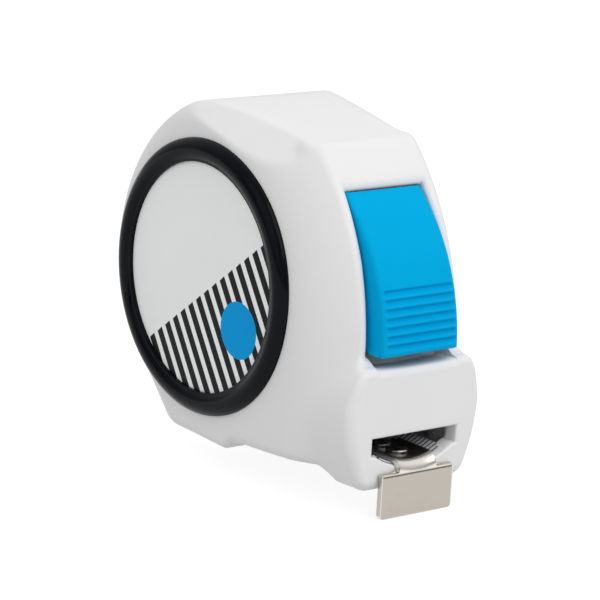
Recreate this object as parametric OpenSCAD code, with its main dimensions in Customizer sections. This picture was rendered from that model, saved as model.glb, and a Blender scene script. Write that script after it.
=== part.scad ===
// Pocket tape measure with a thumb brake.
// Origin under the reel axis on the base plane, centred across the width.
// +X points out of the mouth, +Z is up, the printed side is -Y. Millimetres.

/* [Case] */
// Width of the moulded case across its two side faces
case_w = 34; // [32:0.5:38]
// Wall of the case behind its side faces and over the reel
wall = 2; // [1.6:0.1:2.4]
// Height of the reel axis above the base
reel_z = 30.5; // [30:0.25:31.5]
// Thickness of the screwed-on side cover
cover_t = 2.5; // [2.3:0.1:2.8]
// Distance from the reel axis to the flat nose front
nose_x = 42; // [41:0.25:43]
// Half width of the front rails beside the button, where their corners start
rail_half = 10.8; // [10.4:0.1:11.2]

/* [Bezel and label] */
// Outer radius of the raised ring
bezel_r = 25.5; // [24.5:0.1:26]
// Radius of the label disc inside the ring
label_r = 21.25; // [20:0.25:22]
// Height of the ring over the side face
bezel_h = 1.7; // [1.2:0.1:2.4]
// Thickness of the label disc
label_t = 0.4; // [0.3:0.05:0.6]

/* [Blade] */
// Width of the blade along its curve
blade_w = 16; // [13:0.5:16]
// Thickness of the coated steel strip
blade_t = 0.2; // [0.15:0.05:0.3]
// Radius of the cross curve of the blade, measured on its upper side
blade_curve = 15; // [14:0.5:18]
// Height of the upper side of the blade, in its middle, at the mouth
blade_z = 4.1; // [3.9:0.1:4.4]
// Outer radius of the wound blade
coil_r = 24.6; // [23.5:0.1:24.8]
// Inner radius of the wound blade, which is the outside of the drum
drum_r = 16; // [14:0.5:18]
// Drawn pitch of the winding
coil_pitch = 0.86; // [0.7:0.02:1.2]
// Straight pull of the blade that the model shows
pull = 15; // [8:1:15]

/* [Hook] */
// Width of the hook plate
hook_w = 16.5; // [14:0.5:18]
// Thickness of the hook sheet
hook_t = 1; // [0.8:0.1:1.2]
// Width of the tongue and neck of the hook
neck_w = 8.4; // [7:0.1:9]
// Reach of the hook plate below the base
hook_drop = 4.8; // [3:0.1:6]
// Length of the tongue that lies on the blade
tongue_l = 11.5; // [10:0.5:12]
// End play of the hook, equal to its own thickness
hook_play = 1; // [0.8:0.1:1.2]

/* [Thumb brake] */
// Width of the button
button_w = 17.5; // [16.5:0.1:17.6]
// Number of grip grooves
grooves = 7; // [4:1:8]
// Distance from groove to groove
groove_pitch = 1.55; // [1.3:0.05:1.7]
// Radius of the pins of the button and of the brake arm
pin_r = 1.25; // [1:0.05:1.5]

/* [Reel] */
// Radius of the fixed centre post
post_r = 2.5; // [2:0.1:3]
// Radius of the two drum flanges
flange_r = 25; // [24.7:0.1:25.2]
// Thickness of a drum flange
flange_t = 1.2; // [1:0.1:1.5]
// Width of the power spring strip
spring_w = 13; // [8:0.5:14]

/* [Fits] */
// Radial clearance of a running fit
run_gap = 0.06; // [0.03:0.01:0.1]
// Clearance between pieces that pass each other
side_gap = 0.3; // [0.25:0.01:0.4]

/* [Belt clip] */
// Width of the clip strip
clip_w = 14; // [10:1:18]
// Length of the clip
clip_l = 40; // [30:1:42]
// Thickness of the clip strip
clip_t = 1; // [0.8:0.1:1.2]
// Clear gap between clip and cover for a belt
clip_gap = 2.2; // [1.6:0.1:2.6]

/* [Hidden] */
$fn = 64;

half_w = case_w / 2;
part_y = half_w - cover_t;              // parting plane between case body and cover
floor_y = -half_w + wall;               // inside of the printed side wall
chamber_r = flange_r + 0.8;             // round room for the reel
room_half = rail_half - 0.2;            // half width of the room behind the button

// Front of the case: one arc about this centre. The sides close in towards the same arc.
front_c = [nose_x - 54.8, reel_z - 7.9];
front_r = 51.7;
front_low = -17;
front_high = 42.8;
taper_r = 38;                           // the sides are flat inside this radius
taper_k = 0.0327;                       // and close in with the square of the distance past it

// The lower front of each side leans in below a crease that rises at this angle
crease = [13.8, 0, 2.3];
crease_angle = 42.3;
lean = 0.15;

// The nose is a barrel: widest at barrel_z, a slow curve below it and a quick one above
barrel_half = half_w - 1.65;
barrel_z = 13.5;
barrel_low_r = 22.5;
barrel_top_r = 13;
nose_corner = 2.6;

// ---- outline of the main body, seen from the side ----

function on_front(a) = front_c + front_r * [cos(a), sin(a)];
front_mid = (front_low + front_high) / 2;
front_knee = front_c + front_r / cos(front_high - front_mid) * [cos(front_mid), sin(front_mid)];
brow = on_front(front_high) + 1.31 * [-sin(front_high), cos(front_high)];
toe = on_front(front_low) + 5 * [sin(front_low), -cos(front_low)];
// Corner points of the outline with the radius that rounds each of them
corners = [[toe, 2], [front_knee, front_r], [brow, 3.5], [[5.5, 61.6], 90], [[-5.8, 62.6], 22],
    [[-31.8, 49.9], 34.5], [[-27.1, 18.2], 26.6], [[-9.4, 0], 5], [[8.3, 0], 1.5], [[11, 1.9], 2]];

function unit(v) = v / norm(v);
function turn(a, b, c) = let (u = unit(b - a), w = unit(c - b)) atan2(cross(u, w), u * w);
// Points of the arc that rounds the corner b between a and c
function corner_arc(a, b, c, r, step) =
    let (t = turn(a, b, c), p = b + unit(a - b) * r * tan(abs(t) / 2),
         m = p + sign(t) * r * [-(b - a)[1], (b - a)[0]] / norm(b - a), n = max(2, ceil(abs(t) / step)))
    [for (i = [0 : n]) let (q = p - m, w = t * i / n)
        m + [q[0] * cos(w) - q[1] * sin(w), q[0] * sin(w) + q[1] * cos(w)]];
function corner_step(r) = r > 25 ? 5.5 : r > 4 ? 9 : 22;
rounded = [for (k = [0 : len(corners) - 1]) let (n = len(corners))
    each corner_arc(corners[(k + n - 1) % n][0], corners[k][0], corners[(k + 1) % n][0],
        corners[k][1], corner_step(corners[k][1]))];
outline = [for (k = [0 : len(rounded) - 1]) let (n = len(rounded))
    if (norm(rounded[k] - rounded[(k + n - 1) % n]) > 0.1) rounded[k]];
// Long straight stretches get points between, because the width changes along them
function filled(pts, gap) = [for (k = [0 : len(pts) - 1])
    let (a = pts[k], b = pts[(k + 1) % len(pts)], n = max(1, ceil(norm(b - a) / gap)))
    for (i = [0 : n - 1]) a + (b - a) * i / n];
ring = filled(outline, 6);
hub = [0, reel_z];

// ---- how far each level across the width reaches out from the hub ----

edge_r = 3.4;
function edge_inset(y) = let (m = half_w - y) m > edge_r ? 0
    : edge_r - sqrt(max(0, edge_r * edge_r - (edge_r - m) * (edge_r - m)));
// Share of the ray from the hub to p where it leaves a circle about the front arc's centre
function share_circle(p, r) = let (d = p - hub, c = hub - front_c,
    a = d * d, b = c * d, k = c * c - r * r) (-b + sqrt(b * b - a * k)) / a;
function front_limit(y) = y >= rail_half + 1.8
    ? taper_r + sqrt(max(0, (half_w - y) / taper_k))
    : front_r - 1.8 + sqrt(max(0, 3.24 - pow(max(0, y - rail_half), 2)));
function case_point(p, y) = let (q = hub + (p - hub) * min(1, share_circle(p, front_limit(abs(y))),
    1 - edge_inset(abs(y)) / norm(p - hub))) [q[0], y, q[1]];

side_levels = [rail_half, rail_half + 0.9, rail_half + 1.5, rail_half + 1.8, 13.4, 14.5, 15.5,
    16.2, 16.7, half_w];
levels = [for (i = [len(side_levels) - 1 : -1 : 0]) -side_levels[i], for (y = side_levels) y];

// Solid through a stack of closed rings of points, each ring with the same number of points.
// Flat ends, or ends that rise to the two tips.
module stack(rings, flip, tips) {
    n = len(rings[0]);
    m = len(rings);
    last = (m - 1) * n;
    bands = [for (j = [0 : m - 2]) for (i = [0 : n - 1]) let (k = (i + 1) % n)
        each [[j * n + i, j * n + k, (j + 1) * n + k], [j * n + i, (j + 1) * n + k, (j + 1) * n + i]]];
    ends = len(tips) == 2
        ? [for (i = [0 : n - 1]) let (k = (i + 1) % n)
            each [[k, i, m * n], [last + i, last + k, m * n + 1]]]
        : [[for (i = [n - 1 : -1 : 0]) i], [for (i = [0 : n - 1]) last + i]];
    faces = concat(bands, ends);
    polyhedron(concat([for (r = rings) each r], tips),
        flip ? [for (f = faces) [for (i = [len(f) - 1 : -1 : 0]) f[i]]] : faces);
}
// Main body: the outline, carried from side to side through all levels. The side faces are
// dished by a tenth, under the ring and label.
module main_body() {
    stack([for (y = levels) [for (p = ring) case_point(p, y)]], false,
        [[0, 0.1 - half_w, reel_z], [0, half_w - 0.1, reel_z]]);
}

function barrel(z) = z < barrel_z ? barrel_half - pow(barrel_z - z, 2) / (2 * barrel_low_r)
    : barrel_half - pow(z - barrel_z, 2) / (2 * barrel_top_r);
// Nose: plan sections with height, front line and rear line
nose_rows = [[0, -1.1, 34], [0.6, -0.45, 33.5], [1.8, 0, 32.4], [4.5, 0, 29], [7.5, 0, 26],
    [10.5, 0, 26], [12.5, 0, 26], [14, 0, 26], [15.5, 0, 26], [17, 0, 26], [18.5, 0, 26],
    [19.8, 0, 26], [20.9, -0.25, 26], [21.7, -0.8, 26], [22.2, -1.6, 26], [22.5, -2.5, 26],
    [23.4, -3, 26], [25.4, -3.6, 26]];
module nose_block() {
    r = nose_corner;
    stack([for (w = nose_rows) let (h = barrel(w[0]), x = nose_x + w[1]) concat(
        [[w[2], h, w[0]], [w[2], -h, w[0]]],
        [for (a = [-90 : 18 : 0]) [x - r + r * cos(a), -h + r + r * sin(a), w[0]]],
        [for (a = [0 : 18 : 90]) [x - r + r * cos(a), h - r + r * sin(a), w[0]]])], true, []);
}

// The moulded outside without its openings
module case_outside() {
    difference() {
        union() {
            main_body();
            nose_block();
        }
        for (s = [0, 1]) mirror([0, s, 0]) {
            scoop();
            lean_cut();
        }
    }
}
// Hollow along the top edge: starts at nothing, deepens forward and ends at the brow
module scoop() {
    back = [-8, 19.8, 64.4];
    front = [22.4, 14.6, 61.7];
    v = front - back;
    translate(back) rotate([0, acos(v[2] / norm(v)), atan2(v[1], v[0])])
        cylinder(r = 5, h = norm(v));
}
// Takes off what stands outside the leaning lower front
module lean_cut() {
    translate(crease) rotate([0, 90 - crease_angle, 0]) translate([0, 0, -30]) linear_extrude(90)
        polygon([[-3, half_w + 0.05 + 3 * lean], [40, half_w + 0.05 - 40 * lean], [40, 30], [-3, 30]]);
}

// Extrudes a shape drawn in x and z across the width, from y = a to y = b
module across(a, b) {
    translate([0, b, 0]) rotate([90, 0, 0]) linear_extrude(b - a) children();
}
// Extrudes a shape drawn in y and z along the length, from x = a to x = b
module along(a, b) {
    translate([a, 0, 0]) rotate([90, 0, 90]) linear_extrude(b - a) children();
}
module rod(x, z, r, a, b) {
    across(a, b) translate([x, z]) circle(r);
}

// ---- rooms inside the case ----

button_arc_r = 35;
button_arc_c = [nose_x + 0.3 - button_arc_r, reel_z - 6.6];
button_pivot = [nose_x - 14.8, 48.6];
brake_pivot = [nose_x - 11, 15.4];
pad_x = nose_x - 17.5;
pad_l = 4.8;
window_low = 21.9;
window_high = 51.4;

// Room for button, arm and blade run, behind the nose and the rails
module front_room_shape() {
    polygon([[2, 30], [14, 52.5], [22.5, 53], [nose_x - 15.2, 52], [nose_x - 13.8, 49],
        [nose_x - 9.5, 42], [nose_x - 6.7, 33], [nose_x - 5.8, window_low], [nose_x - 5.8, 20],
        [nose_x - 3.4, 18], [nose_x - 3.4, 3], [6, 3], [0, reel_z - chamber_r - 0.4]]);
}
blade_centre_z = blade_z + blade_curve;
floor_curve = blade_curve + blade_t + 0.35;
mouth_half = 9.7;
mouth_top = 9.85;

// Mouth in the nose front: flat top, upright ends and a floor dished like the blade
module mouth_shape() {
    side_z = 6.6;
    translate([-mouth_half, side_z]) square([2 * mouth_half, mouth_top - side_z]);
    intersection() {
        translate([0, blade_centre_z]) circle(floor_curve, $fn = 128);
        translate([-mouth_half, 0]) square([2 * mouth_half, side_z + 0.1]);
    }
}
side_room_r = taper_r + 3.4;            // beside the front room the sides are hollow inside this radius
low_boss = front_c + (side_room_r - 0.32) * unit([38.4, -14.6]);  // grows out of that wall
// Screws of the cover: x, z, where the boss starts across the width, and the head's outer face
screw_spots = [[-5.5, 58, floor_y - 1, half_w - 0.15], [-8.2, 3.7, floor_y - 1, half_w - 0.6],
    [14, 54.7, floor_y - 1, half_w - 1], [low_boss[0], low_boss[1], room_half - 0.2, half_w - 0.8]];
screw_r = 1.1;
screw_l = 6;
screw_head_r = 2;
screw_head_t = 0.9;
boss_r = 2.4;

module rooms() {
    rod(0, reel_z, chamber_r, floor_y, part_y + 1);
    across(-room_half, room_half) front_room_shape();
    across(room_half - 0.1, part_y + 1) intersection() {
        front_room_shape();
        translate(front_c) circle(side_room_r, $fn = 128);
    }
}

module case_body() {
    color("whitesmoke") {
        difference() {
            case_outside();
            translate([-60, part_y, -20]) cube([140, 20, 100]);
            difference() {
                rooms();
                boss_columns();
                reel_boss();
            }
            button_window();
            along(nose_x - 6, nose_x + 1) mouth_shape();
            pin_bores();
            screw_holes();
            rod(0, reel_z, post_r, floor_y - 0.8, -half_w * 0.4);
        }
    }
}
module reel_boss() {
    rod(0, reel_z, post_r + 1.6, floor_y - 1, -flange_out - side_gap);
}
module boss_columns() {
    for (p = screw_spots) rod(p[0], p[1], boss_r, p[2], part_y + 1);
}
module screw_holes() {
    for (p = screw_spots) rod(p[0], p[1], screw_r, p[3] - screw_l - 0.5, half_w);
}
// Opening in the front that the button fills, with a floor that dips in the middle
module button_window() {
    w = button_w / 2 + side_gap;
    dip = 60;
    front = nose_x + 18;
    across(-w, w) polygon([[nose_x - 22, 46], [nose_x - 15.5, window_high - 0.5],
        [nose_x - 14, window_high], [front, window_high + 3], [front, window_low + 1],
        [nose_x - 8, window_low + 1], [nose_x - 12, 30]]);
    along(nose_x - 8, front) intersection() {
        translate([-w, 20]) square([2 * w, window_low - 18.9]);
        translate([0, window_low - 0.8 + dip]) circle(dip, $fn = 360);
    }
}
module pin_bores() {
    for (p = [button_pivot, brake_pivot])
        rod(p[0], p[1], pin_r, -pin_half, pin_half);
}
pin_half = rail_half + 0.9;

module side_cover() {
    color("whitesmoke") {
        difference() {
            union() {
                intersection() {
                    case_outside();
                    translate([-60, part_y, -20]) cube([140, cover_t + 1, 100]);
                }
                rod(0, reel_z, post_r + 1.6, flange_out + side_gap, part_y);
                cover_rim();
            }
            for (p = screw_spots) {
                rod(p[0], p[1], screw_r + 0.25, part_y - 1, half_w + 1);
                rod(p[0], p[1], screw_head_r + 0.2, p[3] - screw_head_t, half_w + 1);
            }
            rod(0, reel_z, post_r, flange_out - 1, half_w - 0.6);
            rod(clip_x, clip_z, screw_r, part_y - 1, half_w + 1);
        }
    }
}
// Low rib under the cover that centres it in the reel room
module cover_rim() {
    difference() {
        rod(0, reel_z, chamber_r - side_gap / 2, part_y - 1.5, part_y);
        rod(0, reel_z, chamber_r - side_gap / 2 - 1.2, part_y - 2, part_y - 0.01);
        for (p = screw_spots) rod(p[0], p[1], boss_r + side_gap, part_y - 2, part_y - 0.01);
        translate([8, part_y - 3, 0]) cube([34, 2.99, 56]);
    }
}
module case_screws() {
    color("dimgray") for (p = screw_spots) difference() {
        union() {
            rod(p[0], p[1], screw_r, p[3] - screw_l, p[3] - 0.3);
            rod(p[0], p[1], screw_head_r, p[3] - screw_head_t, p[3]);
        }
        for (a = [45, 135]) translate([p[0], p[3], p[1]]) rotate([0, a, 0])
            cube([2.2, 1, 0.45], center = true);
    }
}

// ---- ring and label ----

module bezel_ring() {
    seat = 0.5;
    color([0.08, 0.08, 0.09]) translate([0, -half_w, reel_z]) rotate([90, 0, 0])
        rotate_extrude($fn = 128) difference() {
            polygon([[label_r - 0.2, -seat + 0.5], [bezel_r, 0], [bezel_r - 0.3, bezel_h * 0.45],
                [bezel_r - 1.1, bezel_h * 0.8], [bezel_r - 2.2, bezel_h], [bezel_r - 3.3, bezel_h * 0.98],
                [label_r, bezel_h * 0.62], [label_r - 0.2, bezel_h * 0.5]]);
            translate([label_r - 1, -1]) square([1, 1 + bezel_h * 0.45]);
        }
}
module label_disc() {
    color([0.84, 0.85, 0.86]) rod(0, reel_z, label_r - 0.05, -half_w - label_t, -half_w);
}

// ---- belt clip on the cover ----

clip_x = -2;
clip_z = 48;
module belt_clip() {
    foot = 9;
    y1 = half_w;
    bow = clip_gap + clip_t;
    low = clip_z + 4.5 - clip_l;
    color("silver") difference() {
        intersection() {
            translate([y1, 0, 0]) rotate([90, 0, 90]) translate([0, 0, -y1 + clip_x - clip_w / 2])
                linear_extrude(clip_w) polygon([[y1, clip_z + 4.5], [y1 + clip_t, clip_z + 4.5],
                    [y1 + clip_t, clip_z + 4.5 - foot + 0.4], [y1 + bow, clip_z + 1.5 - foot],
                    [y1 + bow, low + 5], [y1 + clip_gap * 0.35 + clip_t, low + 2],
                    [y1 + bow + 0.4, low], [y1 + bow - 0.4, low - 0.3],
                    [y1 + clip_gap * 0.35, low + 1.7], [y1 + clip_gap, low + 4.6],
                    [y1 + clip_gap, clip_z + 1.1 - foot], [y1, clip_z + 4.1 - foot]]);
            across(y1 - 1, y1 + 8) union() {
                translate([clip_x - clip_w / 2, low + 3]) square([clip_w, clip_l - 6]);
                translate([clip_x - clip_w / 2 + 3, low - 1]) square([clip_w - 6, clip_l + 2]);
                for (s = [-1, 1]) for (z = [low + 3, low + clip_l - 3])
                    translate([clip_x + s * (clip_w / 2 - 3), z]) circle(3);
            }
        }
        rod(clip_x, clip_z, screw_r + 0.2, y1 - 1, y1 + 3);
    }
}
module clip_screw() {
    color("dimgray") difference() {
        union() {
            rod(clip_x, clip_z, screw_r, part_y + 0.1, half_w + clip_t + 0.1);
            rod(clip_x, clip_z, screw_head_r + 0.4, half_w + clip_t, half_w + clip_t + 1);
        }
        for (a = [45, 135]) translate([clip_x, half_w + clip_t + 1, clip_z]) rotate([0, a, 0])
            cube([2.6, 0.9, 0.5], center = true);
    }
}

// ---- reel: post, drum, spring and wound blade ----

drum_half = blade_w / 2 + 0.5;
flange_out = drum_half + flange_t;
hub_r = post_r + 1.8;
module centre_post() {
    color("silver") difference() {
        rod(0, reel_z, post_r, floor_y - 0.8, half_w - 0.6);
        translate([-post_r - 1, -spring_w / 2, reel_z - 0.3]) cube([post_r + 1, spring_w, 0.6]);
    }
}
module flange_holes(a, b) {
    m = (flange_r + drum_r) / 2;
    for (t = [0 : 60 : 300]) rod(m * cos(t), reel_z + m * sin(t), 3, a, b);
}
module reel_drum() {
    color("darkorange") difference() {
        union() {
            rod(0, reel_z, flange_r, -flange_out, -drum_half);
            rod(0, reel_z, drum_r - 0.1, -drum_half, drum_half);
        }
        rod(0, reel_z, drum_r - 1.5, -drum_half + 1, drum_half + 1);
        rod(0, reel_z, post_r + run_gap, -flange_out - 1, drum_half + 1);
        flange_holes(-flange_out - 1, 0);
        translate([drum_r - 2, -spring_w / 2, reel_z - 0.5]) cube([1.3, spring_w, 1]);
    }
}
module drum_cover() {
    color("darkorange") difference() {
        union() {
            rod(0, reel_z, flange_r, drum_half, flange_out);
            difference() {
                rod(0, reel_z, drum_r - 1.55, drum_half - 1, drum_half);
                rod(0, reel_z, drum_r - 2.6, drum_half - 2, drum_half - 0.01);
            }
        }
        rod(0, reel_z, post_r + run_gap, drum_half - 2, flange_out + 1);
        flange_holes(0, flange_out + 1);
    }
}
// Flat spiral band from radius a to b: a ribbon of thickness t with the given number of turns
module spiral_band(a, b, turns, t, step) {
    n = ceil(turns * 360 / step);
    function r(i) = a + (b - a) * i / n;
    function at(i, d) = (r(i) + d) * [cos(i * step), sin(i * step)];
    polygon(concat([for (i = [0 : n]) at(i, t / 2)], [for (i = [n : -1 : 0]) at(i, -t / 2)]));
}
module power_spring() {
    color("slategray") across(-spring_w / 2, spring_w / 2) translate([0, reel_z])
        spiral_band(post_r + 0.8, drum_r - 2.8, 7, 0.4, 12);
}
module blade_coil() {
    turns = floor((coil_r - drum_r) / coil_pitch);
    color("gold") across(-blade_w / 2, blade_w / 2) translate([0, reel_z])
        spiral_band(drum_r + coil_pitch * 0.35, coil_r - coil_pitch * 0.35, turns, coil_pitch * 0.7, 12);
}

// ---- blade run, hook and rivets ----

lead_x0 = 0;
lead_x1 = nose_x - 1;
flat_x = pad_x - pad_l / 2 - pull - 0.1;  // full cross curve from here on, so the pad always meets it
tail_z = 5;
// Height of the underside in the middle, and share of the full cross curve, along the run
function bend(x) = let (s = max(0, min(1, (x - lead_x0) / (flat_x - lead_x0)))) s * s * (3 - 2 * s);
function run_z(x) = tail_z + (blade_z - blade_t - tail_z) * bend(x);
function run_point(x, u, h) = let (k = max(0.0005, bend(x) / blade_curve), a = u * k * 180 / PI)
    [x, (1 / k - h) * sin(a), run_z(x) + h + (1 / k - h) * (1 - cos(a))];
module blade_lead() {
    xs = concat([for (i = [0 : 6]) flat_x * i / 6], [lead_x1 - 2, lead_x1]);
    n = 12;
    across_u = [for (i = [0 : n]) -blade_w / 2 + blade_w * i / n];
    function trim(x) = x > lead_x1 - 1 ? 0.8 : 1;
    loop = [for (x = xs) concat([for (u = across_u) run_point(x, u * trim(x), 0)],
        [for (i = [n : -1 : 0]) run_point(x, across_u[i] * trim(x), blade_t)])];
    color("khaki") difference() {
        stack(loop, false, []);
        for (x = rivet_x) translate([x, 0, 0]) cylinder(r = rivet_r, h = 12);
    }
}
rivet_r = 1;
rivet_x = [nose_x - 4.8, nose_x - 9.2];
hook_low_r = blade_curve - 0.12;
hook_top_r = hook_low_r - hook_t;
hook_back = nose_x + 0.28;
hook_front = hook_back + hook_t;
plate_top = 3.3;
// Sheet between two arcs that share the blade's cross curve centre
module sheet_shape(half) {
    intersection() {
        difference() {
            translate([0, blade_centre_z]) circle(hook_low_r, $fn = 128);
            translate([0, blade_centre_z]) circle(hook_top_r, $fn = 128);
        }
        translate([-half, 0]) square([2 * half, 9]);
    }
}
module end_hook() {
    bend_r = 1.5;
    tongue_end = hook_front - tongue_l;
    color("tan") difference() {
        union() {
            difference() {
                along(tongue_end, hook_front - bend_r + 0.2) sheet_shape(neck_w / 2);
                for (s = [-1, 1]) translate([tongue_end, s * neck_w / 2, 0])
                    rotate([0, 0, 45]) cube([3, 3, 30], center = true);
            }
            // neck: follows the blade's curve, turns down over a rounded edge
            intersection() {
                along(hook_front - bend_r - 0.5, hook_front) difference() {
                    translate([-neck_w / 2, plate_top - 1]) square([neck_w, 6]);
                    translate([0, blade_centre_z]) circle(hook_top_r, $fn = 128);
                }
                across(-neck_w, neck_w) neck_side(bend_r);
            }
            along(hook_back, hook_front) plate_shape();
        }
        for (x = rivet_x) hull() for (d = [-rivet_r - 0.1 - hook_play, 0.1 + rivet_r])
            translate([x + d - sign(d) * rivet_r, 0, 0]) cylinder(r = rivet_r + 0.12, h = 12, $fn = 24);
    }
}
// Side view of the neck: round outer edge, its underside on the tongue's underside
module neck_side(bend_r) {
    top = blade_centre_z - hook_top_r + 0.7;
    under = blade_centre_z - hook_low_r;
    difference() {
        union() {
            translate([hook_front - bend_r - 0.6, plate_top - 1]) square([0.6, top - plate_top + 1]);
            translate([hook_front - bend_r, plate_top - 1]) square([bend_r, top - bend_r - plate_top + 1]);
            translate([hook_front - bend_r, top - bend_r]) circle(bend_r);
        }
        translate([hook_back - 6, 0]) square([6, under]);
    }
}
module plate_shape() {
    r = 1.2;
    h = plate_top + hook_drop;
    translate([-hook_w / 2 + r, -hook_drop]) square([hook_w - 2 * r, h]);
    translate([-hook_w / 2, -hook_drop + r]) square([hook_w, h - 2 * r]);
    for (s = [-1, 1]) for (z = [-hook_drop + r, plate_top - r])
        translate([s * (hook_w / 2 - r), z]) circle(r);
}
module hook_rivets() {
    seat = blade_centre_z - sqrt(hook_top_r * hook_top_r - 4) + 0.06;
    color("gainsboro") for (x = rivet_x) {
        translate([x, 0, blade_z - blade_t]) cylinder(r = rivet_r, h = seat + 0.3 - blade_z + blade_t);
        translate([x, 0, seat]) cylinder(r1 = 2, r2 = 1.5, h = 0.6);
    }
}

// ---- thumb brake ----

contact_z = 24.6;
button_press = 4;
arm_ratio = (button_pivot[1] - contact_z) / (contact_z - brake_pivot[1]);
button_bottom = 24.2;
spring_pocket = pin_r + 1.4;
spring_l = 4.4;                         // length of the two small torsion springs along their pins
// Side view of the button: front arc, flat underside and a hollow back
module button_outside() {
    intersection() {
        translate(button_arc_c) circle(button_arc_r, $fn = 180);
        polygon([button_pivot + [-1.2, 2.5], button_pivot + [2.1, 2.3],
            [nose_x + 18, button_pivot[1] + 2.3], [nose_x + 18, button_bottom + 0.5],
            [nose_x + 0.1, button_bottom + 0.35], [nose_x - 1, button_bottom],
            [nose_x - 8.4, button_bottom], [nose_x - 7.2, reel_z - 0.5],
            [nose_x - 8.6, reel_z + 7.5], button_pivot + [2.4, -3.4],
            button_pivot + [-2.6, -2.2], button_pivot + [-2.9, 0.8]]);
    }
}
module release_button() {
    shell = 1.6;
    inner = button_w / 2 - shell;
    color([0, 0.62, 0.87]) difference() {
        across(-button_w / 2, button_w / 2) button_outside();
        // hollow behind the front wall, but for the lug that pushes the arm
        across(-inner, inner) difference() {
            intersection() {
                translate(button_arc_c) circle(button_arc_r - shell - 0.4, $fn = 180);
                polygon([[nose_x - 12.5, 45.4], [nose_x + 18, 45.4],
                    [nose_x + 18, button_bottom + 1.8], [nose_x - 12, button_bottom + 1.8]]);
            }
            translate([nose_x - 9, contact_z - 1]) square([8, 3.4]);
        }
        for (i = [0 : grooves - 1]) grip_groove(button_bottom + 1.7 + i * groove_pitch);
        rod(button_pivot[0], button_pivot[1], pin_r + run_gap, -button_w, button_w);
        rod(button_pivot[0], button_pivot[1], spring_pocket, -3, 3);
    }
}
// Round groove across the front
module grip_groove(z) {
    x = button_arc_c[0] + sqrt(pow(button_arc_r, 2) - pow(z - button_arc_c[1], 2));
    half = button_w / 2 - 0.9;
    rod(x + 0.45, z, 0.8, -half, half, $fn = 24);
}
module button_pin() {
    color("silver") rod(button_pivot[0], button_pivot[1], pin_r, -pin_half, pin_half);
}
module brake_pin() {
    color("silver") rod(brake_pivot[0], brake_pivot[1], pin_r, -pin_half, pin_half);
}
pad_half = 3.6;
pad_gap = side_gap;
pad_top = blade_z + pad_gap + 2.2;
// Turns what is drawn in its braking place back to its place at rest
module at_rest() {
    translate([brake_pivot[0], 0, brake_pivot[1]]) rotate([0, button_press * arm_ratio, 0])
        translate([-brake_pivot[0], 0, -brake_pivot[1]]) children();
}
// Bent lever: the upper leg meets the button's lug, the lower leg carries the pad
module brake_arm() {
    arm_half = 5.5;
    boss = pin_r + 1.5;
    back = button_press * arm_ratio;
    color([0.25, 0.27, 0.3]) difference() {
        across(-arm_half, arm_half) {
            translate(brake_pivot) circle(boss);
            polygon([brake_pivot + [-1.1, -1.6], brake_pivot + [1.7, 1.2],
                [nose_x - 8.6, contact_z + 0.6], [nose_x - 9.8, contact_z + 0.9], brake_pivot + [-2.1, 0.6]]);
            translate(brake_pivot) rotate(-back) translate(-brake_pivot)
                polygon([brake_pivot + [0.5, -2.1], brake_pivot + [-1, 1.9],
                    [pad_x - pad_l / 2, pad_top + 2.4], [pad_x - pad_l / 2, pad_top],
                    [pad_x + pad_l / 2, pad_top]]);
        }
        rod(brake_pivot[0], brake_pivot[1], pin_r + run_gap, -20, 20);
        rod(brake_pivot[0], brake_pivot[1], boss + 0.7, -3, 3);
    }
}
// Rubber pad with a round underside that fits the hollow of the blade
module brake_pad() {
    r = blade_curve - pad_gap;
    color([0.12, 0.12, 0.12]) at_rest() along(pad_x - pad_l / 2, pad_x + pad_l / 2) intersection() {
        translate([0, blade_z + blade_curve]) circle(r, $fn = 128);
        translate([-pad_half, blade_z]) square([2 * pad_half, pad_top - blade_z]);
    }
}
// Round wire wound on a helix about the z axis with a straight leg at both ends, as one tube
module wound_wire(r, wire, length, turns, leg, sides) {
    n = ceil(turns * 14);
    function wound(i) = let (a = i * 360 * turns / n) [r * cos(a), r * sin(a), length * i / n];
    function centre(i) = i < 0 ? wound(0) + [0, -leg, 0]
        : i > n ? wound(n) + leg * [-sin(360 * turns), cos(360 * turns), 0] : wound(i);
    function rim(i, s) = let (a = max(0, min(n, i)) * 360 * turns / n, b = s * 360 / sides)
        centre(i) + wire * [cos(b) * cos(a), cos(b) * sin(a), sin(b)];
    stack([for (i = [-1 : n + 1]) [for (s = [0 : sides - 1]) rim(i, s)]], false, []);
}
module button_spring() {
    color("silver") translate([button_pivot[0], -spring_l / 2, button_pivot[1]]) rotate([-90, 0, 0])
        rotate([0, 0, 90]) wound_wire(pin_r + 0.55, 0.22, spring_l, 4.35, spring_pocket - 1.1, 6);
}
module brake_spring() {
    color("silver") translate([brake_pivot[0], -spring_l / 2, brake_pivot[1]]) rotate([-90, 0, 0])
        rotate([0, 0, 200]) wound_wire(pin_r + 0.55, 0.22, spring_l, 4.35, spring_pocket - 0.25, 6);
}
// Low-friction strip in the floor of the mouth that the blade runs over
module mouth_guide() {
    guide_half = blade_w / 2 + 0.6;
    color([0.2, 0.2, 0.22]) along(nose_x - 8.5, nose_x - 3.6) intersection() {
        translate([-guide_half, 3]) square([2 * guide_half, 3.4]);
        difference() {
            translate([-guide_half, 3]) square([2 * guide_half, 2.4]);
            translate([0, blade_centre_z]) circle(floor_curve, $fn = 128);
        }
    }
}

case_body();
side_cover();
bezel_ring();
label_disc();
case_screws();
belt_clip();
clip_screw();
centre_post();
reel_drum();
drum_cover();
power_spring();
blade_coil();
blade_lead();
end_hook();
hook_rivets();
release_button();
button_pin();
button_spring();
brake_arm();
brake_pin();
brake_pad();
brake_spring();
mouth_guide();
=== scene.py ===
import bpy, bmesh
import numpy as np
from mathutils import Matrix, Vector


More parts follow.
